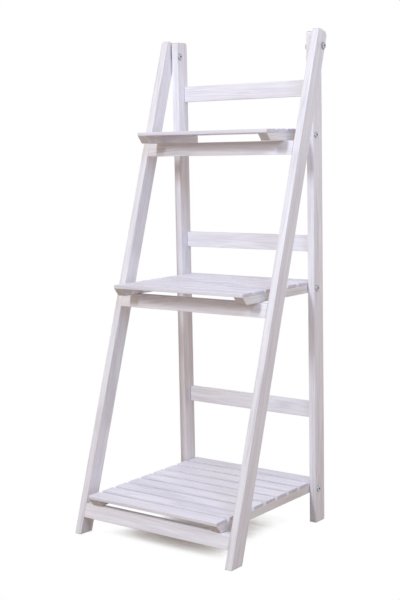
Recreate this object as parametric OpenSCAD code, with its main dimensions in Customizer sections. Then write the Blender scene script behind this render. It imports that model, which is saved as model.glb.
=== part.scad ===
// Folding plant ladder stand: two hinged frames and three slatted shelves.
// Millimetres, +Z up, +X to the right, the front faces -Y.
// The origin lies on the floor, under the middle of the opened stand.

/* [Stand] */
// Height of the opened stand, to the tips of the front posts
stand_h = 930; // [880:5:1000]
// Width over the outer faces of the front posts
stand_w = 364; // [300:2:460]
// Depth from the toes of the front posts to the back of the rear posts
stand_d = 336; // [316:2:370]

/* [Posts] */
// Width of every post, seen from the side
post_w = 31; // [28:0.5:36]
// Thickness of every post, seen from the front
post_t = 14.5; // [13:0.5:20]
// How far the rear posts' tops lie below the tips of the front posts
rear_tip_drop = 3; // [0:0.5:10]
// Gap between a front post and the rear post beside it
post_gap = 3.5; // [3:0.5:8]
// Radius of the top corners of the front posts
front_tip_r = 8; // [2:0.5:12]
// Radius of the top corners of the rear posts
rear_tip_r = 6; // [2:0.5:12]

/* [Top pivot] */
// Drop of the top pivot below the tips of the front posts
pivot_drop = 31; // [26:1:45]
// How far the front posts stand forward of the rear posts at the top pivot
front_lead = 18; // [14:0.5:20]
// Radius of the top pivot bolts
pivot_bolt_r = 3; // [2.5:0.25:3.5]
// Radius of the flat heads of the top pivot bolts and their cap nuts
pivot_head_r = 6.5; // [5.5:0.25:7.5]
// Thickness of the flat heads of the top pivot bolts and their cap nuts
pivot_head_t = 2.5; // [2.3:0.1:3.5]
// Radius of the sleeves of the cap nuts
sleeve_r = 4.25; // [4:0.25:5]
// Length of the sleeves of the cap nuts
sleeve_l = 12; // [10:0.5:12.5]
// Distance from the end of a top pivot bolt to the head of its cap nut
bolt_end_gap = 2; // [1:0.5:4]
// Radius of the spacer discs on the top pivot bolts
spacer_r = 5; // [4.5:0.25:7]

/* [Rear rails] */
// Height of each rear rail
rear_rail_h = 30; // [24:1:36]
// Thickness of the rear rails
rear_rail_t = 12; // [10:0.5:14]
// Space between the bottom shelf and the rear rail above it
bottom_rail_gap = 123; // [100:1:150]
// Space between the middle shelf and the rear rail above it
middle_rail_gap = 55.5; // [50:0.5:90]
// Space between the top shelf and the rear rail above it
top_rail_gap = 60.5; // [50:0.5:80]

/* [Front rails] */
// Height of each front rail
front_rail_h = 25; // [22:0.5:28]
// Thickness of the front rails, square to their faces
front_rail_t = 12; // [10:0.5:14]

/* [Shelves] */
// Height of the top face of the bottom shelf
bottom_shelf_h = 77.5; // [66:0.5:90]
// Height of the top face of the middle shelf
middle_shelf_h = 465; // [450:1:475]
// Height of the top face of the top shelf
top_shelf_h = 750; // [735:1:755]
// How far the bottom shelf reaches forward of its front rail
bottom_overhang = 13; // [12.5:0.5:16]
// How far the middle shelf reaches forward of its front rail
middle_overhang = 48.5; // [44:0.5:54]
// How far the top shelf reaches forward of its front rail
top_overhang = 58.5; // [54:0.5:62]
// How far every shelf reaches back past the rear posts
back_overhang = 4; // [0:0.5:8]
// Number of slats in the bottom shelf
bottom_slats = 9; // [8:1:9]
// Number of slats in the middle shelf
middle_slats = 7; // [6:1:7]
// Number of slats in the top shelf
top_slats = 5; // [4:1:5]
// Width of a slat, front to back
slat_w = 30; // [26:0.5:31]
// Thickness of a slat
slat_t = 6.5; // [5:0.5:8]
// Height of the two cleats under each shelf
cleat_h = 14.5; // [12:0.5:16]
// Width of a cleat, side to side
cleat_w = 20; // [17:0.5:26]
// How far the cut-back nose of a cleat runs
cleat_nose = 11.5; // [6:0.5:12]
// Setback of the cleats' rear ends from the shelf's back edge
cleat_setback = 1; // [0:0.5:3]

/* [Shelf pivots] */
// Distance of the shelf pivots from the back of the rear posts
shelf_pivot_inset = 22; // [20:0.5:24]
// Depth of the shelf pivots below the top of the cleats
shelf_pivot_depth = 5; // [4.5:0.25:6]
// Radius of the shelf pivot screws
screw_r = 2.5; // [2:0.25:2.75]
// Radius of the shelf pivot screw heads
screw_head_r = 5.5; // [4.5:0.25:6.5]
// Thickness of the shelf pivot screw heads
screw_head_t = 2.2; // [2:0.1:2.6]
// Outer radius of the threaded inserts in the cleats
insert_r = 3.75; // [3.5:0.25:4]
// Length of the threaded inserts in the cleats
insert_l = 14; // [10:0.5:16]

/* [Fixings] */
// Radius of the rail dowels
dowel_r = 3; // [2:0.25:4]
// Depth of a dowel in the post
dowel_in_post = 10; // [8:0.5:11]
// Depth of a dowel in the rail
dowel_in_rail = 14; // [10:0.5:20]
// Distance between the two dowels at each rail end
dowel_pitch = 12; // [9:0.5:13]
// Radius of the slat brads
brad_r = 0.8; // [0.6:0.1:1.2]
// Length of the slat brads
brad_l = 14; // [10:0.5:16]
// Width across the flats of the key sockets in the bolt, nut and screw heads
key_flats = 3; // [2.5:0.5:4]
// Depth of the key sockets in the bolt, nut and screw heads
key_depth = 1.4; // [1:0.1:1.6]

/* [Clearances] */
// Gap between a shelf and each rear post
shelf_side_gap = 1; // [0.5:0.25:2]
// Gap between faces of pieces that turn past each other
turning_gap = 0.3; // [0.2:0.05:0.5]
// Radial clearance of a pivot in the wood that turns on it
pivot_fit = 0.08; // [0.05:0.01:0.1]
// Radial clearance of pieces fixed in their holes
fixed_fit = 0.02; // [0.01:0.01:0.05]

/* [Hidden] */
$fn = 48;
SHELVES = ["bottom", "middle", "top"];
SIDES = ["left", "right"];
shelf_h = [bottom_shelf_h, middle_shelf_h, top_shelf_h];
rail_gap = [bottom_rail_gap, middle_rail_gap, top_rail_gap];
overhang = [bottom_overhang, middle_overhang, top_overhang];
slats = [bottom_slats, middle_slats, top_slats];

// faces across the stand, as distances from its middle
front_outer_x = stand_w / 2;
front_inner_x = front_outer_x - post_t;
rear_outer_x = front_inner_x - post_gap;
rear_inner_x = rear_outer_x - post_t;
shelf_half_w = rear_inner_x - shelf_side_gap;

// the rear posts: their height, and where their backs stand with the origin midway along the floor plan
rear_post_h = stand_h - rear_tip_drop;
back_y = (stand_d - back_overhang) / 2;

// lean of the front posts, from their toes to where they cross at the top pivot
pivot_z = stand_h - pivot_drop;
lean = atan((stand_d - post_w - front_lead) / pivot_z);
function front_face_y(z) = back_y - stand_d + z * tan(lean);
front_post_depth = post_w / cos(lean);
pivot_y = (back_y - post_w + front_face_y(pivot_z) + front_post_depth) / 2;
front_post_l = (stand_h + front_tip_r * (cos(lean) + sin(lean) - 1)) / cos(lean);

// shelves: 0 is the bottom one, 1 the middle one and 2 the top one
function front_rail_top(s) = shelf_h[s] - slat_t - cleat_h - turning_gap;
function shelf_front_y(s) = front_face_y(front_rail_top(s)) - overhang[s];
function shelf_depth(s) = back_y + back_overhang - shelf_front_y(s);
function slat_pitch(s) = (shelf_depth(s) - slat_w) / (slats[s] - 1);
function slat_y(s, n) = shelf_front_y(s) + (n - 1) * slat_pitch(s);
shelf_pivot_y = back_y - shelf_pivot_inset;
function shelf_pivot_z(s) = shelf_h[s] - slat_t - shelf_pivot_depth;
function rear_rail_z(s) = shelf_h[s] + rail_gap[s];

spacer_t = post_gap - turning_gap;
cleat_mid_x = shelf_half_w - cleat_w / 2;
spacer_bore_r = pivot_bolt_r + 0.2;
rim = 1;

// the right-hand piece as drawn, or its mirror image on the left
module on_side(side) {
    mirror([side == "left" ? 1 : 0, 0, 0]) children();
}

module both_sides() {
    for (side = SIDES) on_side(side) children();
}

// a side view, drawn in Y and Z, made solid from x by the thickness t
module board(x, t) {
    translate([x, 0, 0]) rotate([90, 0, 90]) linear_extrude(t) children();
}

// a round bar along X, from x to x + l
module bar(x, y, z, l, r) {
    translate([x, y, z]) rotate([0, 90, 0]) cylinder(h = l, r = r);
}

// a hexagonal bar along X, for the key sockets
module hex_bar(x, y, z, l, flats) {
    translate([x, y, z]) rotate([0, 90, 0]) cylinder(h = l, r = flats / 2 / cos(30), $fn = 6);
}

// what is cut away to round a corner; its two edges run along -X and -Y
module corner(r) {
    difference() {
        translate([-r, -r]) square(r + rim);
        translate([-r, -r]) circle(r);
    }
}

// an upright strip of wood with two rounded top corners
module tipped_strip(w, l, r) {
    difference() {
        square([w, l]);
        translate([w, l]) corner(r);
        translate([0, l]) mirror([1, 0]) corner(r);
    }
}

// the two dowel places at a rail's end: children are put at each, in Y and Z
module dowel_places(y, z, tilt) {
    for (d = [-1, 1] * dowel_pitch / 2) translate([0, y + d * sin(tilt), z + d * cos(tilt)]) children();
}

module rear_rail_dowel_places(s) {
    dowel_places(back_y - rear_rail_t / 2, rear_rail_z(s) + rear_rail_h / 2, 0) children();
}

module front_rail_dowel_places(s) {
    z = front_rail_top(s) - front_rail_h / 2;
    dowel_places(front_face_y(z) + front_rail_t / cos(lean) / 2, z, lean) children();
}

// an upright rear post, bored for the pivots and the rail dowels
module rear_post() {
    color("whitesmoke") difference() {
        board(rear_inner_x, post_t) translate([back_y - post_w, 0]) tipped_strip(post_w, rear_post_h, rear_tip_r);
        bar(rear_inner_x - rim, pivot_y, pivot_z, post_t + 2 * rim, sleeve_r + fixed_fit);
        for (s = [0 : 2]) {
            bar(rear_inner_x - rim, shelf_pivot_y, shelf_pivot_z(s), post_t + 2 * rim, screw_r + pivot_fit);
            rear_rail_dowel_places(s) bar(rear_inner_x - rim, 0, 0, dowel_in_post + rim, dowel_r + fixed_fit);
        }
    }
}

// a leaning front post: its tip is cut square, its foot is cut level
module front_post() {
    color("whitesmoke") difference() {
        board(front_inner_x, post_t) difference() {
            translate([front_face_y(0), 0]) rotate(-lean) translate([0, -post_w])
                tipped_strip(post_w, front_post_l + post_w, front_tip_r);
            translate([-stand_d, -2 * post_w]) square([2 * stand_d, 2 * post_w]);
        }
        bar(front_inner_x - rim, pivot_y, pivot_z, post_t + 2 * rim, pivot_bolt_r + pivot_fit);
        for (s = [0 : 2]) front_rail_dowel_places(s)
            bar(front_inner_x - rim, 0, 0, dowel_in_post + rim, dowel_r + fixed_fit);
    }
}

// a rear rail, flush with the back of the rear posts
module rear_rail(s) {
    color("whitesmoke") difference() {
        translate([-rear_inner_x, back_y - rear_rail_t, rear_rail_z(s)])
            cube([2 * rear_inner_x, rear_rail_t, rear_rail_h]);
        both_sides() rear_rail_dowel_places(s)
            bar(rear_inner_x - dowel_in_rail, 0, 0, dowel_in_rail + rim, dowel_r + fixed_fit);
    }
}

// a front rail: its face leans with the front posts, and its edges are planed level
module front_rail(s) {
    top = front_rail_top(s);
    bottom = top - front_rail_h;
    depth = front_rail_t / cos(lean);
    color("whitesmoke") difference() {
        board(-front_inner_x, 2 * front_inner_x) polygon([
            [front_face_y(bottom), bottom],
            [front_face_y(bottom) + depth, bottom],
            [front_face_y(top) + depth, top],
            [front_face_y(top), top]
        ]);
        both_sides() front_rail_dowel_places(s)
            bar(front_inner_x - dowel_in_rail, 0, 0, dowel_in_rail + rim, dowel_r + fixed_fit);
    }
}

// glued dowels that hold the rails to the posts
module rear_rail_dowels() {
    color("burlywood") for (s = [0 : 2]) both_sides() rear_rail_dowel_places(s)
        bar(rear_inner_x - dowel_in_rail, 0, 0, dowel_in_rail + dowel_in_post, dowel_r);
}

module front_rail_dowels() {
    color("burlywood") for (s = [0 : 2]) both_sides() front_rail_dowel_places(s)
        bar(front_inner_x - dowel_in_rail, 0, 0, dowel_in_rail + dowel_in_post, dowel_r);
}

// top pivot, from the outside in: bolt head, front post, spacer, then the cap nut's sleeve in the rear post
module pivot_bolts() {
    end_x = rear_inner_x + bolt_end_gap;
    head_x = front_outer_x + turning_gap;
    color("dimgray") both_sides() difference() {
        union() {
            bar(end_x, pivot_y, pivot_z, head_x - end_x, pivot_bolt_r);
            bar(head_x, pivot_y, pivot_z, pivot_head_t, pivot_head_r);
        }
        hex_bar(head_x + pivot_head_t - key_depth, pivot_y, pivot_z, key_depth + rim, key_flats);
    }
}

module pivot_spacers() {
    color("dimgray") both_sides() difference() {
        bar(rear_outer_x, pivot_y, pivot_z, spacer_t, spacer_r);
        bar(rear_outer_x - rim, pivot_y, pivot_z, spacer_t + 2 * rim, spacer_bore_r);
    }
}

// a cap nut: its head bears on the rear post's inner face, its sleeve holds the bolt
module pivot_cap_nuts() {
    color("dimgray") both_sides() difference() {
        union() {
            bar(rear_inner_x - pivot_head_t, pivot_y, pivot_z, pivot_head_t, pivot_head_r);
            bar(rear_inner_x - rim, pivot_y, pivot_z, sleeve_l + rim, sleeve_r);
        }
        bar(rear_inner_x, pivot_y, pivot_z, sleeve_l + rim, pivot_bolt_r + fixed_fit);
        hex_bar(rear_inner_x - pivot_head_t - rim, pivot_y, pivot_z, key_depth + rim, key_flats);
    }
}

// the middles of a shelf's slats, over the right-hand cleat
module brad_places(s) {
    for (n = [1 : slats[s]]) translate([cleat_mid_x, slat_y(s, n) + slat_w / 2, 0]) children();
}

// a cleat: its nose is cut back under the front slat, its rear end takes the pivot screw
module cleat(s) {
    front = shelf_front_y(s);
    back = back_y + back_overhang - cleat_setback;
    top = shelf_h[s] - slat_t;
    color("gainsboro") difference() {
        board(shelf_half_w - cleat_w, cleat_w) polygon([
            [front, top],
            [front + cleat_nose, top - cleat_h],
            [back, top - cleat_h],
            [back, top]
        ]);
        bar(shelf_half_w - insert_l, shelf_pivot_y, shelf_pivot_z(s), insert_l + rim, insert_r + fixed_fit);
        brad_places(s) translate([0, 0, shelf_h[s] - brad_l]) cylinder(h = brad_l, r = brad_r + fixed_fit);
    }
}

// slat n of a shelf, counted from the front
module slat(s, n) {
    color("whitesmoke") difference() {
        translate([-shelf_half_w, slat_y(s, n), shelf_h[s] - slat_t]) cube([2 * shelf_half_w, slat_w, slat_t]);
        both_sides() translate([cleat_mid_x, slat_y(s, n) + slat_w / 2, shelf_h[s] - slat_t - rim])
            cylinder(h = slat_t + 2 * rim, r = brad_r + fixed_fit);
    }
}

module slat_brads(s) {
    color("silver") both_sides() brad_places(s) translate([0, 0, shelf_h[s] - brad_l]) cylinder(h = brad_l, r = brad_r);
}

// a screw whose plain shank turns in the rear post and whose end is held in the cleat
module pivot_screws(s) {
    end_x = shelf_half_w - insert_l;
    head_x = rear_outer_x + turning_gap;
    color("dimgray") both_sides() difference() {
        union() {
            bar(end_x, shelf_pivot_y, shelf_pivot_z(s), head_x - end_x, screw_r);
            bar(head_x, shelf_pivot_y, shelf_pivot_z(s), screw_head_t, screw_head_r);
        }
        hex_bar(head_x + screw_head_t - key_depth, shelf_pivot_y, shelf_pivot_z(s), key_depth + rim, key_flats);
    }
}

module pivot_inserts(s) {
    color("goldenrod") both_sides() difference() {
        bar(shelf_half_w - insert_l, shelf_pivot_y, shelf_pivot_z(s), insert_l, insert_r);
        bar(shelf_half_w - insert_l - rim, shelf_pivot_y, shelf_pivot_z(s), insert_l + 2 * rim, screw_r + fixed_fit);
    }
}

for (side = SIDES) {
    on_side(side) rear_post();
    on_side(side) front_post();
}
for (s = [0 : 2]) {
    rear_rail(s);
    front_rail(s);
    pivot_screws(s);
    pivot_inserts(s);
    slat_brads(s);
    for (side = SIDES) {
        on_side(side) cleat(s);
    }
    for (n = [1 : slats[s]]) {
        slat(s, n);
    }
}
rear_rail_dowels();
front_rail_dowels();
pivot_bolts();
pivot_spacers();
pivot_cap_nuts();
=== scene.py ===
# A folding ladder stand for plants: two hinged frames of whitewashed pine, and three slatted
# shelves that turn on the rear frame and rest on the front one. Everything is in metres, in the
# CAD model's own frame: Z up, the front faces -Y, and the floor is at z = 0.
import math
import random

import bmesh
import bpy
from mathutils import Euler, Matrix, Vector


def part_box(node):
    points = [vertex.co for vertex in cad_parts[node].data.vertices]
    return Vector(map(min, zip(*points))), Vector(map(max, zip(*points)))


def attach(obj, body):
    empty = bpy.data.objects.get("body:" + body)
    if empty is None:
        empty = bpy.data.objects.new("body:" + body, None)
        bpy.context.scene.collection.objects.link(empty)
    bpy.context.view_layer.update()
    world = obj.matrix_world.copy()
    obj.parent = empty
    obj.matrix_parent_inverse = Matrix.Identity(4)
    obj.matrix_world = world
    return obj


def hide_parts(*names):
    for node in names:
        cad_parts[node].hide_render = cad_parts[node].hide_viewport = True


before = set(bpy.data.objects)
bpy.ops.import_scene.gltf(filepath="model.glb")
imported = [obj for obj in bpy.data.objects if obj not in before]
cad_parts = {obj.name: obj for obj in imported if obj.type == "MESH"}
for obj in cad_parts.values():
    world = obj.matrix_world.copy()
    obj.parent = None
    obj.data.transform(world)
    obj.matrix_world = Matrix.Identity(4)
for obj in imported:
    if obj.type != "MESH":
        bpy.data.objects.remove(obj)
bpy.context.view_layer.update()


# ---- Rear posts --------------------------------------------------------------------------------
# Two upright strips of planed pine, 31 by 14.5 mm. Their top corners are rounded on a sander,
# their arrises are eased with paper, and a thin white wash is brushed along them.

mm = 0.001


def linear(hex_colour):
    """A colour written in sRGB, as the linear RGBA that a shader takes."""
    channels = [int(hex_colour[i:i + 2], 16) / 255 for i in (1, 3, 5)]
    return [c / 12.92 if c <= 0.04045 else ((c + 0.055) / 1.055) ** 2.4 for c in channels] + [1]


def add(tree, kind, inputs=None, **settings):
    """Adds a shader node. An input takes a number, a colour, or what feeds it."""
    made = tree.nodes.new("ShaderNode" + kind)
    for name, value in settings.items():
        setattr(made, name, value)
    for name, value in (inputs or {}).items():
        if isinstance(value, bpy.types.Node):
            value = value.outputs[0]
        if isinstance(value, bpy.types.NodeSocket):
            tree.links.new(value, made.inputs[name])
        else:
            made.inputs[name].default_value = value
    return made


def whitewashed_pine(name, grain_turn, wash, shade, bare, soaked_end):
    """Whitewashed pine, planed and brushed: the brush leaves soft streaks, the late wood of the year
    rings shows here and there as faint grey lines, and end grain soaks the wash up and looks darker."""
    ring_width = 3.4 * mm
    ring_wander = 34 * mm
    patch_width, patch_length = 26 * mm, 130 * mm
    fibre_width, fibre_length = 1.4 * mm, 55 * mm
    brush_width, brush_length = 7 * mm, 160 * mm
    fibre_relief = 0.1 * mm
    material = bpy.data.materials.new(name)
    material.use_nodes = True
    tree = material.node_tree
    shader = tree.nodes["Principled BSDF"]

    # each board has its own place in its own tree, with the grain turned to run along Z
    texture = add(tree, "TexCoord")
    board = add(tree, "Attribute", attribute_name="board").outputs["Vector"]
    moved = add(tree, "VectorMath", {0: texture.outputs["Object"], 1: board}, operation="ADD")
    timber = add(tree, "Mapping", {"Vector": moved, "Rotation": grain_turn})

    # the year rings wander by a centimetre or so, over 45 mm across the trunk and 385 mm along it
    stretch = add(tree, "VectorMath", {0: timber, 1: (22, 22, 2.6)}, operation="MULTIPLY")
    wander = add(tree, "TexNoise", {"Vector": stretch, "Scale": 1, "Detail": 3})
    centred = add(tree, "VectorMath", {0: wander.outputs["Color"], 1: (0.5, 0.5, 0.5)},
                  operation="SUBTRACT")
    drift = add(tree, "VectorMath", {0: centred, "Scale": ring_wander}, operation="SCALE")
    trunk = add(tree, "VectorMath", {0: timber, 1: drift}, operation="ADD")
    # a wave texture of scale 1 repeats every tau / 20
    rings = add(tree, "TexWave", {"Vector": trunk, "Scale": math.tau / 20 / ring_width, "Distortion": 0},
                wave_type="RINGS", rings_direction="Z")
    late_wood = add(tree, "MapRange", {"Value": rings.outputs["Fac"], 1: 0.35, 2: 1.0},
                    interpolation_type="SMOOTHSTEP")

    # the wash hides the rings in some places, each a few centimetres wide and a hand long
    patch = add(tree, "VectorMath",
                {0: timber, 1: (1 / patch_width, 1 / patch_width, 1 / patch_length)},
                operation="MULTIPLY")
    patches = add(tree, "TexNoise", {"Vector": patch, "Scale": 1, "Detail": 1})
    bared = add(tree, "MapRange", {"Value": patches.outputs["Fac"], 1: 0.42, 2: 0.68},
                interpolation_type="SMOOTHSTEP")
    lines = add(tree, "Math", {0: late_wood, 1: bared}, operation="MULTIPLY")

    # fibres 1.4 mm apart, about as fine as a photograph shows, and brush streaks 7 mm apart
    fine = add(tree, "VectorMath",
               {0: timber, 1: (1 / fibre_width, 1 / fibre_width, 1 / fibre_length)},
               operation="MULTIPLY")
    fibres = add(tree, "TexNoise", {"Vector": fine, "Scale": 1, "Detail": 3, "Roughness": 0.6})
    broad = add(tree, "VectorMath",
                {0: timber, 1: (1 / brush_width, 1 / brush_width, 1 / brush_length)},
                operation="MULTIPLY")
    brushing = add(tree, "TexNoise", {"Vector": broad, "Scale": 1, "Detail": 2})

    # how much of the wood shows through the wash
    streaks = add(tree, "Math", {0: fibres.outputs["Fac"], 1: brushing.outputs["Fac"]})
    thin = add(tree, "Math", {0: streaks, 1: 0.95, 2: -0.74}, operation="MULTIPLY_ADD")
    shown = add(tree, "Math", {0: lines, 1: 0.26, 2: thin}, operation="MULTIPLY_ADD", use_clamp=True)
    face = add(tree, "Mix", {"Factor": shown, 6: linear(wash), 7: linear(shade)}, data_type="RGBA")

    # end grain, whose faces look along the grain
    facing = add(tree, "Mapping", {"Vector": texture.outputs["Normal"], "Rotation": grain_turn})
    along = add(tree, "SeparateXYZ", {0: facing})
    square = add(tree, "Math", {0: along.outputs[2]}, operation="ABSOLUTE")
    end_grain = add(tree, "MapRange", {"Value": square, 1: 0.5, 2: 0.75, 3: 0, 4: 0.75})
    soaked = add(tree, "Mix", {"Factor": end_grain, 6: face.outputs[2], 7: linear(soaked_end)},
                 data_type="RGBA", blend_type="MULTIPLY")

    # rubbed arrises let a little of the wood show
    arris = add(tree, "Attribute", attribute_name="arris").outputs["Fac"]
    uneven = add(tree, "Math", {0: brushing.outputs["Fac"], 1: 1.8, 2: arris}, operation="MULTIPLY_ADD")
    rubbed = add(tree, "MapRange", {"Value": uneven, 1: 1.75, 2: 2.3, 3: 0, 4: 0.4},
                 interpolation_type="SMOOTHSTEP")
    surface = add(tree, "Mix", {"Factor": rubbed, 6: soaked.outputs[2], 7: linear(bare)},
                  data_type="RGBA")
    tone = add(tree, "Attribute", attribute_name="tone").outputs["Fac"]
    toned = add(tree, "HueSaturation", {"Value": tone, "Color": surface.outputs[2]})
    tree.links.new(toned.outputs[0], shader.inputs["Base Color"])

    # the wash dries satin over the early wood and duller in the fibres, and the fibres stand up
    roughness = add(tree, "MapRange", {"Value": shown, 3: 0.5, 4: 0.68})
    tree.links.new(roughness.outputs[0], shader.inputs["Roughness"])
    relief = add(tree, "Math", {0: fibres.outputs["Fac"], 1: 0.7, 2: lines}, operation="MULTIPLY_ADD")
    bump = add(tree, "Bump", {"Height": relief, "Strength": 0.4, "Distance": fibre_relief})
    tree.links.new(bump.outputs[0], shader.inputs["Normal"])
    return material


def ease(bm, radius, margin):
    """Rounds every arris, then draws a line round each face so that wear stays beside the arrises."""
    # the small steps of an already rounded tip turn by less than this
    least_turn = math.radians(20)
    sharp = [e for e in bm.edges if e.calc_face_angle() > least_turn]
    rounded = bmesh.ops.bevel(bm, geom=sharp, offset=radius, offset_type="OFFSET", segments=3,
                              profile=0.5, affect="EDGES", material=-1, clamp_overlap=True)["faces"]
    flats = [f for f in bm.faces if f not in set(rounded)]
    bmesh.ops.inset_region(bm, faces=flats, thickness=margin, use_even_offset=True, use_boundary=True)
    arris = bm.verts.layers.float.new("arris")
    for v in bm.verts:
        v[arris] = 1
    for f in flats:
        for v in f.verts:
            v[arris] = 0


def square_cut(low, high):
    """The outline, in Y and Z, of a board that is cut square."""
    return [(low.y, low.z), (high.y, low.z), (high.y, high.z), (low.y, high.z)]


def plank(bm, outline, x0, x1, tips=(), tip_radius=0):
    """A plank whose outline lies in Y and Z, and which runs from x0 to x1. tips are rounded corners."""
    corners = [bm.verts.new((x0, y, z)) for y, z in outline]
    side = bm.faces.new(corners)
    if tips:
        bmesh.ops.bevel(bm, geom=[corners[i] for i in tips], offset=tip_radius, offset_type="OFFSET",
                        segments=8, profile=0.5, affect="VERTICES", material=-1)
        side = bm.faces[:][0]
    grown = bmesh.ops.extrude_face_region(bm, geom=[side])["geom"]
    moved = [v for v in grown if isinstance(v, bmesh.types.BMVert)]
    bmesh.ops.translate(bm, verts=moved, vec=(x1 - x0, 0, 0))
    bmesh.ops.recalc_face_normals(bm, faces=bm.faces)


def piece(name, bm, material, smooth=True):
    """Makes the finished mesh an object of the scene."""
    mesh = bpy.data.meshes.new(name)
    bm.to_mesh(mesh)
    bm.free()
    mesh.polygons.foreach_set("use_smooth", [smooth] * len(mesh.polygons))
    mesh.materials.append(material)
    made = bpy.data.objects.new(name, mesh)
    bpy.context.scene.collection.objects.link(made)
    return made


def cut_from_own_tree(made, grain_axis, rng):
    """Gives a board its own place in a trunk, 25 to 60 mm from the pith, and its own tone."""
    mesh = made.data
    centre = sum((v.co for v in mesh.vertices), Vector()) / len(mesh.vertices)
    away = Euler([rng.uniform(0, math.tau) if i == grain_axis else 0 for i in range(3)])
    out = Vector((0, 0, 0))
    out[(grain_axis + 1) % 3] = rng.uniform(25, 60) * mm
    out.rotate(away)
    out[grain_axis] = rng.uniform(-2, 2)
    offset = out - centre
    board = mesh.attributes.new("board", "FLOAT_VECTOR", "POINT")
    board.data.foreach_set("vector", [c for _ in mesh.vertices for c in offset])
    tone = mesh.attributes.new("tone", "FLOAT", "POINT")
    tone.data.foreach_set("value", [rng.uniform(0.975, 1.0)] * len(mesh.vertices))


wash = "#F5F4F8"
wash_shade = "#CCC6CF"
bare_pine = "#DDD2C8"
post_end = "#D9D1D2"
frame_arris = 1.0 * mm
frame_margin = 2.6 * mm
rear_tip_radius = 6 * mm
post_rng = random.Random(11)
upright_pine = whitewashed_pine("whitewashed_pine_upright", (0, 0, 0), wash, wash_shade, bare_pine,
                                post_end)

for side in ("left", "right"):
    low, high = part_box(f"rear_post_{side}")
    bm = bmesh.new()
    plank(bm, square_cut(low, high), low.x, high.x, tips=(2, 3), tip_radius=rear_tip_radius)
    ease(bm, frame_arris, frame_margin)
    post = piece(f"rear_post_{side}_washed", bm, upright_pine)
    cut_from_own_tree(post, 2, post_rng)
    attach(post, "rear_frame")
    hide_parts(f"rear_post_{side}")


# ---- Rear rails --------------------------------------------------------------------------------
# Three pine rails between the rear posts, flush with the posts' backs, dowelled and glued.
# They are washed along their length, with the same brush as the posts.

rail_rng = random.Random(12)
level_pine = whitewashed_pine("whitewashed_pine_level", (0, -math.pi / 2, 0), wash, wash_shade,
                              bare_pine, post_end)
shelves = ("bottom", "middle", "top")

for shelf in shelves:
    low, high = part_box(f"rear_rail_{shelf}")
    bm = bmesh.new()
    plank(bm, square_cut(low, high), low.x, high.x)
    ease(bm, frame_arris, frame_margin)
    rail = piece(f"rear_rail_{shelf}_washed", bm, level_pine)
    cut_from_own_tree(rail, 0, rail_rng)
    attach(rail, "rear_frame")
    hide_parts(f"rear_rail_{shelf}")


# ---- Front posts -------------------------------------------------------------------------------
# Two pine posts as wide as the rear ones, leaning back to cross them at the top. Their tips are
# cut square to the post and rounded, and their feet are cut level with the floor.

lowest_rail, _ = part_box("front_rail_bottom")
highest_rail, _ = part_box("front_rail_top")
lean = math.atan2(highest_rail.y - lowest_rail.y, highest_rail.z - lowest_rail.z)
rear_low, rear_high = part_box("rear_post_right")
post_width = rear_high.y - rear_low.y
front_tip_radius = 8 * mm
leaning_pine = whitewashed_pine("whitewashed_pine_leaning", (lean, 0, 0), wash, wash_shade, bare_pine,
                                post_end)

for side in ("left", "right"):
    low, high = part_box(f"front_post_{side}")
    # the square tip, before its corners are rounded down to the stand's height
    rounding = front_tip_radius * (math.cos(lean) + math.sin(lean) - 1)
    tip_z = high.z + rounding
    up = Vector((math.sin(lean), math.cos(lean)))
    back = Vector((math.cos(lean), -math.sin(lean)))
    toe = Vector((low.y, low.z))
    heel = toe + Vector((post_width / math.cos(lean), 0))
    front_tip = toe + up * (tip_z - low.z) / math.cos(lean)
    back_tip = front_tip + back * post_width
    bm = bmesh.new()
    plank(bm, [toe, heel, back_tip, front_tip], low.x, high.x, tips=(2, 3),
          tip_radius=front_tip_radius)
    ease(bm, frame_arris, frame_margin)
    post = piece(f"front_post_{side}_washed", bm, leaning_pine)
    cut_from_own_tree(post, 2, post_rng)
    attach(post, "front_frame")
    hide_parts(f"front_post_{side}")


# ---- Front rails -------------------------------------------------------------------------------
# Three pine rails between the front posts, which the shelves rest on. Their faces lean with the
# posts, and their upper and lower edges are planed level.

for shelf in shelves:
    low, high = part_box(f"front_rail_{shelf}")
    run = (high.z - low.z) * math.tan(lean)
    bm = bmesh.new()
    leaning = [(low.y, low.z), (high.y - run, low.z), (high.y, high.z), (low.y + run, high.z)]
    plank(bm, leaning, low.x, high.x)
    ease(bm, frame_arris, frame_margin)
    rail = piece(f"front_rail_{shelf}_washed", bm, level_pine)
    cut_from_own_tree(rail, 0, rail_rng)
    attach(rail, "front_frame")
    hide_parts(f"front_rail_{shelf}")


# ---- Cleats ------------------------------------------------------------------------------------
# Two pine cleats under each shelf, 14.5 mm deep and 20 mm wide, which carry its slats. Their noses
# are cut back at an angle under the front slat.

cleat_nose = 11.5 * mm
cleat_arris = 0.8 * mm
cleat_margin = 2 * mm
cleat_rng = random.Random(13)
# a slightly darker, warmer wash and browner end grain than the frame's: partly the cleats' own tone,
# partly painted shade for their place under the shelves
cleat_pine = whitewashed_pine("whitewashed_pine_cleats", (math.pi / 2, 0, 0), "#F3F1F1", "#C9C1C2",
                              bare_pine, "#C8BFB9")

for shelf in shelves:
    for side in ("left", "right"):
        low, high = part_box(f"{shelf}_cleat_{side}")
        bm = bmesh.new()
        outline = square_cut(low, high)
        outline[0] = (low.y + cleat_nose, low.z)
        plank(bm, outline, low.x, high.x)
        ease(bm, cleat_arris, cleat_margin)
        cleat = piece(f"{shelf}_cleat_{side}_washed", bm, cleat_pine)
        cut_from_own_tree(cleat, 1, cleat_rng)
        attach(cleat, f"{shelf}_shelf")
        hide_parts(f"{shelf}_cleat_{side}")


# ---- Slats -------------------------------------------------------------------------------------
# Pine slats 30 mm wide and 6.5 mm thick, laid across the cleats a few millimetres apart. Each end
# is held by a brad that is punched just below the surface, so the wash has a dimple there.

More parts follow.
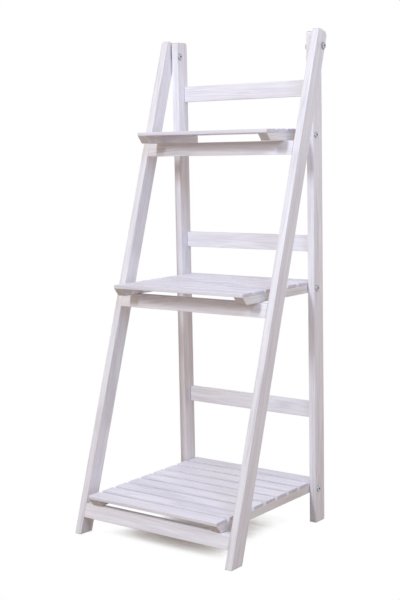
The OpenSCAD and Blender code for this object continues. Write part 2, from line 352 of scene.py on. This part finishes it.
slat_arris = 0.7 * mm
slat_margin = 1.4 * mm
dimple_radius = 1.3 * mm
dimple_depth = 0.5 * mm
slat_rng = random.Random(14)
slat_pine = whitewashed_pine("whitewashed_pine_slats", (0, -math.pi / 2, 0), "#F0EFF7", "#C7C3D1",
                             bare_pine, "#ECEAEE")


def slats(shelf):
    """The names of a shelf's slats."""
    return [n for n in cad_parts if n.startswith(f"{shelf}_slat_") and n[-1].isdigit()]


def punch(bm, x, y, z, radius, depth):
    """Sinks a round dimple into the level face at z, inside a square that is cut into it first."""
    half = 1.7 * radius
    rim = 0.3 * radius
    slope = 0.25 * radius
    for axis, at in ((0, x), (1, y)):
        for shift in (-half, half):
            point, normal = Vector((0, 0, 0)), Vector((0, 0, 0))
            point[axis], normal[axis] = at + shift, 1
            bmesh.ops.bisect_plane(bm, geom=bm.verts[:] + bm.edges[:] + bm.faces[:], dist=1e-6,
                                   plane_co=point, plane_no=normal)
    centre = Vector((x, y, z))
    patch = min(bm.faces, key=lambda f: (f.calc_center_median() - centre).length)
    bmesh.ops.bisect_edges(bm, edges=patch.edges[:], cuts=3)
    bmesh.ops.inset_region(bm, faces=[patch], thickness=rim, use_even_offset=True)
    for v in patch.verts:
        v.co = centre + (v.co - centre).normalized() * radius
    bmesh.ops.inset_region(bm, faces=[patch], thickness=slope, depth=-depth, use_even_offset=True)


for shelf in shelves:
    cleat_low, cleat_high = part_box(f"{shelf}_cleat_right")
    cleat_middle = (cleat_low.x + cleat_high.x) / 2
    for node in slats(shelf):
        low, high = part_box(node)
        bm = bmesh.new()
        plank(bm, square_cut(low, high), low.x, high.x)
        ease(bm, slat_arris, slat_margin)
        for x in (-cleat_middle, cleat_middle):
            punch(bm, x, (low.y + high.y) / 2, high.z, dimple_radius, dimple_depth)
        slat = piece(f"{node}_washed", bm, slat_pine)
        cut_from_own_tree(slat, 0, slat_rng)
        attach(slat, f"{shelf}_shelf")
        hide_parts(node)


# ---- Top pivot bolts ---------------------------------------------------------------------------
# On each side a furniture bolt runs from outside through the front post into the rear one. It is
# turned from mild steel with a broad flat head, broached with a hexagonal key socket, and plated.

turning_steps = 48
key_across = 3 * mm
key_depth = 1.4 * mm
head_thickness = 2.5 * mm
bolt_radius = 3 * mm
bolt_stop = 2 * mm
end_chamfer = 0.6 * mm


def turned(bm, profile, centre, side):
    """Turns a profile of (distance along X, radius, darkening) points about a line along X. The
    darkening is partly dust and partly painted shade.
    """
    layers = bm.verts.layers.float
    radius_layer = layers.get("radius") or layers.new("radius")
    dust_and_painted_shade_layer = layers.get("dust_and_painted_shade") or layers.new("dust_and_painted_shade")
    for v in bm.verts:
        v.tag = True
    points = []
    for x, radius, dust_and_painted_shade in profile:
        points.append(bm.verts.new((side * x, centre.y, centre.z + radius)))
        points[-1][radius_layer] = radius
        points[-1][dust_and_painted_shade_layer] = dust_and_painted_shade
    lines = [bm.edges.new(pair) for pair in zip(points, points[1:])]
    bmesh.ops.spin(bm, geom=points + lines, cent=centre, axis=(1, 0, 0), angle=math.tau,
                   steps=turning_steps, use_merge=True)
    for v in bm.verts:
        if not v.tag and abs(v[radius_layer] - key_across / 2) < 1e-7:
            # the broach draws the round hole out to a hexagon
            y, z = v.co.y - centre.y, v.co.z - centre.z
            stretch = 1 / math.cos(math.atan2(y, z) % (math.pi / 3) - math.pi / 6)
            v.co.y, v.co.z = centre.y + y * stretch, centre.z + z * stretch


def head(face, way, radius, thickness):
    """A slightly crowned head's profile, from the floor of its key socket to its underside."""
    rounding, crown = 0.8 * mm, 0.2 * mm
    drill_point, lip_depth, lip_width = 0.3 * mm, 0.2 * mm, 0.5 * mm
    key_radius = key_across / 2
    # the third numbers darken the metal, most in the key socket and under the head: partly dust, partly
    # painted shade
    points = [(face - way * (key_depth + drill_point), 0, 1), (face - way * key_depth, key_radius, 1),
              (face - way * lip_depth, key_radius, 0.6), (face, key_radius + lip_width, 0.1)]
    for turn in (0, math.pi / 6, math.pi / 3, math.pi / 2):
        points.append((face - way * (crown + (rounding - crown) * (1 - math.cos(turn))),
                       radius - rounding * (1 - math.sin(turn)), 0))
    return points + [(face - way * thickness, radius, 0.3)]


def turned_piece(name, bm, material):
    """Closes the poles, turns the faces outwards and keeps the turned corners crisp."""
    bmesh.ops.remove_doubles(bm, verts=bm.verts, dist=1e-6)
    bmesh.ops.recalc_face_normals(bm, faces=bm.faces)
    least_crisp_turn = math.radians(35)
    for e in bm.edges:
        e.smooth = e.calc_face_angle() < least_crisp_turn
    return piece(name, bm, material)


def plated_steel(name, bright, dull, roughest):
    """Zinc-plated steel gone dull: soft grey with a blotchy bloom, fine rings left by the lathe, drawn
    0.6 mm apart so that they show, and near-black in the sockets, under the heads and on the spacers,
    which is partly dust and partly painted shade."""
    bloom_size = 1.8 * mm
    lathe_pitch = 0.6 * mm
    lathe_relief = 0.02 * mm
    material = bpy.data.materials.new(name)
    material.use_nodes = True
    tree = material.node_tree
    shader = tree.nodes["Principled BSDF"]
    shader.inputs["Metallic"].default_value = 1
    place = add(tree, "TexCoord").outputs["Object"]
    bloom = add(tree, "TexNoise",
                {"Vector": place, "Scale": 1 / bloom_size, "Detail": 3, "Roughness": 0.6})
    plating = add(tree, "Mix", {"Factor": bloom, 6: linear(bright), 7: linear(dull)}, data_type="RGBA")
    # painted shade, with some dust: the metal is mixed towards near-black where the turned profile says
    dust_and_painted_shade = add(tree, "Attribute", attribute_name="dust_and_painted_shade").outputs["Fac"]
    dusty_and_shaded = add(tree, "Mix", {"Factor": dust_and_painted_shade, 6: plating.outputs[2], 7: linear("#2B2827")},
                data_type="RGBA")
    tree.links.new(dusty_and_shaded.outputs[2], shader.inputs["Base Color"])
    roughness = add(tree, "MapRange", {"Value": bloom, 1: 0.3, 2: 0.7, 3: 0.36, 4: roughest})
    tree.links.new(roughness.outputs[0], shader.inputs["Roughness"])
    radius = add(tree, "Attribute", attribute_name="radius").outputs["Fac"]
    turns = add(tree, "Math", {0: radius, 1: math.tau / lathe_pitch}, operation="MULTIPLY")
    rings = add(tree, "Math", {0: turns}, operation="SINE")
    bump = add(tree, "Bump", {"Height": rings, "Strength": 0.15, "Distance": lathe_relief})
    tree.links.new(bump.outputs[0], shader.inputs["Normal"])
    return material


dulled_steel = plated_steel("dulled_zinc_plated_steel", "#C6C4C8", "#8C898E", 0.52)
low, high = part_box("pivot_bolts")
top_pivot = Vector((0, (low.y + high.y) / 2, (low.z + high.z) / 2))
top_head_radius = (high.z - low.z) / 2
rear_inner = rear_low.x
bolt_end = rear_inner + bolt_stop
bm = bmesh.new()
for side in (-1, 1):
    turned(bm, head(high.x, 1, top_head_radius, head_thickness)
           + [(high.x - head_thickness, bolt_radius, 0), (bolt_end + end_chamfer, bolt_radius, 0),
              (bolt_end, bolt_radius - end_chamfer, 0), (bolt_end, 0, 0)], top_pivot, side)
bolts = turned_piece("pivot_bolts_plated", bm, dulled_steel)
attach(bolts, "rear_frame")
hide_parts("pivot_bolts")


# ---- Top pivot cap nuts ------------------------------------------------------------------------
# Each bolt screws into a cap nut: a head like the bolt's on the rear post's inner face, with a
# sleeve, bored and tapped, that is pressed into the post.

sleeve_radius = 4.25 * mm
sleeve_length = 12 * mm
sleeve_chamfer = 0.4 * mm
thread_play = 0.02 * mm
sleeve_end = rear_inner + sleeve_length
bore_radius = bolt_radius + thread_play

bm = bmesh.new()
for side in (-1, 1):
    turned(bm, head(rear_inner - head_thickness, -1, top_head_radius, head_thickness)
           + [(rear_inner, sleeve_radius, 0), (sleeve_end - sleeve_chamfer, sleeve_radius, 0),
              (sleeve_end, sleeve_radius - sleeve_chamfer, 0), (sleeve_end, bore_radius, 0),
              (rear_inner, bore_radius, 0), (rear_inner, 0, 0)], top_pivot, side)
cap_nuts = turned_piece("pivot_cap_nuts_plated", bm, dulled_steel)
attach(cap_nuts, "rear_frame")
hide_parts("pivot_cap_nuts")


# ---- Top pivot spacers -------------------------------------------------------------------------
# A steel disc on each bolt keeps the front post clear of the rear post. Its corners are chamfered.

low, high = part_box("pivot_spacers")
spacer_radius = (high.z - low.z) / 2
spacer_play = 0.2 * mm
spacer_bore = bolt_radius + spacer_play
spacer_start = rear_high.x
chamfer = 0.4 * mm

bm = bmesh.new()
for side in (-1, 1):
    # the spacers are darkened all over: partly dust, partly painted shade in the gap between the posts
    turned(bm, [(spacer_start, spacer_bore, 0.5), (spacer_start, spacer_radius - chamfer, 0.5),
                (spacer_start + chamfer, spacer_radius, 0.2), (high.x - chamfer, spacer_radius, 0.2),
                (high.x, spacer_radius - chamfer, 0.5), (high.x, spacer_bore, 0.5),
                (spacer_start, spacer_bore, 0.5)], top_pivot, side)
spacers = turned_piece("pivot_spacers_plated", bm, dulled_steel)
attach(spacers, "rear_frame")
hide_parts("pivot_spacers")


# ---- Shelf pivot screws ------------------------------------------------------------------------
# A steel screw on each side of a shelf passes through the rear post, where its plain shank turns,
# and into an insert in the cleat. Its head is a smaller one of the bolts' kind.

screw_head_thickness = 2.2 * mm
screw_radius = 2.5 * mm
insert_length = 14 * mm

for shelf in shelves:
    low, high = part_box(f"{shelf}_pivot_screws")
    screw_centre = Vector((0, (low.y + high.y) / 2, (low.z + high.z) / 2))
    screw_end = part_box(f"{shelf}_cleat_right")[1].x - insert_length
    bm = bmesh.new()
    for side in (-1, 1):
        turned(bm, head(high.x, 1, (high.z - low.z) / 2, screw_head_thickness)
               + [(high.x - screw_head_thickness, screw_radius, 0),
                  (screw_end + end_chamfer, screw_radius, 0),
                  (screw_end, screw_radius - end_chamfer, 0), (screw_end, 0, 0)], screw_centre, side)
    screws = turned_piece(f"{shelf}_pivot_screws_plated", bm, dulled_steel)
    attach(screws, f"{shelf}_shelf")
    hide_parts(f"{shelf}_pivot_screws")


# ---- Slat brads --------------------------------------------------------------------------------
# Two thin wire brads hold each slat to its cleats. Their flat tops lie in the dimples that the nail
# punch leaves, just above the dimples' floors.

brad_radius = 0.8 * mm
brad_length = 14 * mm
brad_proud = 0.05 * mm
brad_drop = dimple_depth - brad_proud
brad_rounding = 0.15 * mm
bright_wire = plated_steel("zinc_plated_wire", "#C6C7CB", "#A3A4A9", 0.42)

for shelf in shelves:
    cleat_low, cleat_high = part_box(f"{shelf}_cleat_right")
    bm = bmesh.new()
    for node in slats(shelf):
        low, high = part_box(node)
        top, point = high.z - brad_drop, high.z - brad_length
        for side in (-1, 1):
            middle = Vector((side * (cleat_low.x + cleat_high.x) / 2, (low.y + high.y) / 2,
                             (top + point) / 2))
            bmesh.ops.create_cone(bm, cap_ends=True, segments=16, radius1=brad_radius,
                                  radius2=brad_radius, depth=top - point,
                                  matrix=Matrix.Translation(middle))
    tops = [e for e in bm.edges if all(abs(v.co.z - top) < 1e-6 for v in e.verts)]
    bmesh.ops.bevel(bm, geom=tops, offset=brad_rounding, offset_type="OFFSET", segments=2, profile=0.5,
                    affect="EDGES", material=-1)
    brads = turned_piece(f"{shelf}_slat_brads_punched", bm, bright_wire)
    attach(brads, f"{shelf}_shelf")
    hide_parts(f"{shelf}_slat_brads")


# ---- Inserts and dowels ------------------------------------------------------------------------
# The brass inserts in the cleats and the beech dowels in the rail joints are hidden in the wood.
# They keep the CAD model's shapes, and get the look that they would have when taken apart.

tarnish_size = 3 * mm
tool_pitch = 0.5 * mm
tool_relief = 0.02 * mm
machined_brass = bpy.data.materials.new("machined_brass")
machined_brass.use_nodes = True
tree = machined_brass.node_tree
shader = tree.nodes["Principled BSDF"]
shader.inputs["Metallic"].default_value = 1
place = add(tree, "TexCoord").outputs["Object"]
tarnish = add(tree, "TexNoise", {"Vector": place, "Scale": 1 / tarnish_size, "Detail": 3})
brass = add(tree, "Mix", {"Factor": tarnish, 6: linear("#D9B66A"), 7: linear("#A88645")},
            data_type="RGBA")
tree.links.new(brass.outputs[2], shader.inputs["Base Color"])
roughness = add(tree, "MapRange", {"Value": tarnish, 3: 0.25, 4: 0.45})
tree.links.new(roughness.outputs[0], shader.inputs["Roughness"])
# the tool's marks follow each other along the insert
cuts = add(tree, "TexWave", {"Vector": place, "Scale": math.tau / 20 / tool_pitch},
           bands_direction="X")
bump = add(tree, "Bump", {"Height": cuts, "Strength": 0.3, "Distance": tool_relief})
tree.links.new(bump.outputs[0], shader.inputs["Normal"])

fleck_width, fleck_length = 0.7 * mm, 9 * mm
fleck_relief = 0.05 * mm
turned_beech = bpy.data.materials.new("turned_beech")
turned_beech.use_nodes = True
tree = turned_beech.node_tree
shader = tree.nodes["Principled BSDF"]
shader.inputs["Roughness"].default_value = 0.6
place = add(tree, "TexCoord").outputs["Object"]
drawn = add(tree, "VectorMath", {0: place, 1: (1 / fleck_length, 1 / fleck_width, 1 / fleck_width)},
            operation="MULTIPLY")
flecks = add(tree, "TexNoise", {"Vector": drawn, "Scale": 1, "Detail": 3})
beech = add(tree, "Mix", {"Factor": flecks, 6: linear("#DCBF96"), 7: linear("#B78F62")},
            data_type="RGBA")
tree.links.new(beech.outputs[2], shader.inputs["Base Color"])
bump = add(tree, "Bump", {"Height": flecks, "Strength": 0.3, "Distance": fleck_relief})
tree.links.new(bump.outputs[0], shader.inputs["Normal"])

for name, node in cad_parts.items():
    if name.endswith("_inserts") or name.endswith("_dowels"):
        node.data.materials.clear()
        node.data.materials.append(machined_brass if name.endswith("_inserts") else turned_beech)


# ---- Studio ------------------------------------------------------------------------------------
# A plain pale floor in a bright, slightly warm room, with cool lamps: a tall narrow one in front,
# a nearer square one to the right of the camera, a small one high up on the stand's right, and two
# low broad ones for the left side and the back.

floor_half = 1.7
shade_reach = 0.3


def seen_straight(tree):
    """1 for what the camera, a reflection or glass shows, and 0 for what scatters light on the stand."""
    ray = add(tree, "LightPath").outputs
    straight = add(tree, "Math", {0: ray["Is Camera Ray"], 1: ray["Is Glossy Ray"]},
                   operation="MAXIMUM")
    return add(tree, "Math", {0: straight, 1: ray["Is Transmission Ray"]}, operation="MAXIMUM")


room = bpy.data.worlds.new("room")
bpy.context.scene.world = room
room.use_nodes = True
tree = room.node_tree
ambient = add(tree, "Background", {"Color": linear("#FFE6D0"), "Strength": 0.47})
backdrop = add(tree, "Background", {"Color": linear("#FFFFFF"), "Strength": 1})
both = add(tree, "MixShader", {0: seen_straight(tree), 1: ambient, 2: backdrop})
tree.links.new(both.outputs[0], tree.nodes["World Output"].inputs[0])

# the camera and reflections see the floor as white as paper, with a painted shade, dark brown, where the
# stand encloses it, while the light that it scatters on the stand comes from its plain pale surface
bm = bmesh.new()
bmesh.ops.create_grid(bm, x_segments=1, y_segments=1, size=floor_half)
pale_floor = bpy.data.materials.new("pale_floor")
pale_floor.use_nodes = True
pale_floor.cycles.emission_sampling = "NONE"
tree = pale_floor.node_tree
lit = add(tree, "BsdfDiffuse", {"Color": linear("#A89B8F")})
# painted shade: ambient occlusion mixes the seen floor from white towards dark brown under the stand
nearby = add(tree, "AmbientOcclusion", {"Distance": shade_reach}, samples=48)
open_sky = add(tree, "MapRange", {"Value": nearby.outputs["AO"], 1: 0.15, 2: 0.32},
               interpolation_type="SMOOTHSTEP")
paper_with_painted_shade = add(tree, "Mix", {"Factor": open_sky, 6: linear("#6E5D54"), 7: linear("#FFFFFF")},
            data_type="RGBA")
floor_seen_with_painted_shade = add(tree, "Emission", {"Color": paper_with_painted_shade.outputs[2], "Strength": 1})
both = add(tree, "MixShader", {0: seen_straight(tree), 1: lit, 2: floor_seen_with_painted_shade})
tree.links.new(both.outputs[0], tree.nodes["Material Output"].inputs[0])
floor = piece("floor", bm, pale_floor, smooth=False)

aim = Vector((0, 0, 0.45))
# name, degrees round from the front to the right, degrees up, distance, width, height, watts, colour
lights = (
    ("key", -7, 33, 3.0, 0.2, 0.9, 43, "#EAF4FF"),
    ("fill", 57, 34, 2.1, 0.6, 0.6, 12.5, "#BAD9FF"),
    ("side", 91, 38, 3.0, 0.12, 0.12, 12, "#F0F4FF"),
    ("left", -108, 8, 3.0, 1.2, 1.2, 20, "#D8E8FF"),
    ("rear", 175, 8, 3.0, 1.2, 1.2, 24, "#D8E8FF"),
)
for name, right, up, distance, width, height, watts, colour in lights:
    lamp = bpy.data.objects.new(name, bpy.data.lights.new(name, "AREA"))
    bpy.context.scene.collection.objects.link(lamp)
    lamp.data.shape = "RECTANGLE"
    lamp.data.size = width
    lamp.data.size_y = height
    lamp.data.energy = watts
    lamp.data.color = linear(colour)[:3]
    right, up = math.radians(right), math.radians(up)
    towards = Vector((math.sin(right) * math.cos(up), -math.cos(right) * math.cos(up), math.sin(up)))
    lamp.location = aim + towards * distance
    lamp.rotation_euler = (-towards).to_track_quat("-Z", "Y").to_euler()


# ---- Camera ------------------------------------------------------------------------------------
# A short telephoto in front of the stand and to its right, a little lower than the top shelf and
# tipped down by seven degrees.

camera = bpy.data.objects.new("camera", bpy.data.cameras.new("camera"))
bpy.context.scene.collection.objects.link(camera)
bpy.context.scene.camera = camera
camera.location = (1.3190, -1.7392, 0.7163)
camera_turn, camera_dip, camera_roll = (math.radians(a) for a in (37.242, 7.292, -1.135))
level = Matrix.Rotation(camera_turn, 3, "Z") @ Matrix.Rotation(math.pi / 2 - camera_dip, 3, "X")
camera.rotation_euler = (level @ Matrix.Rotation(camera_roll, 3, "Z")).to_euler()
camera.data.sensor_width = 36
camera.data.lens = 70.7
bpy.context.scene.view_settings.view_transform = "Standard"
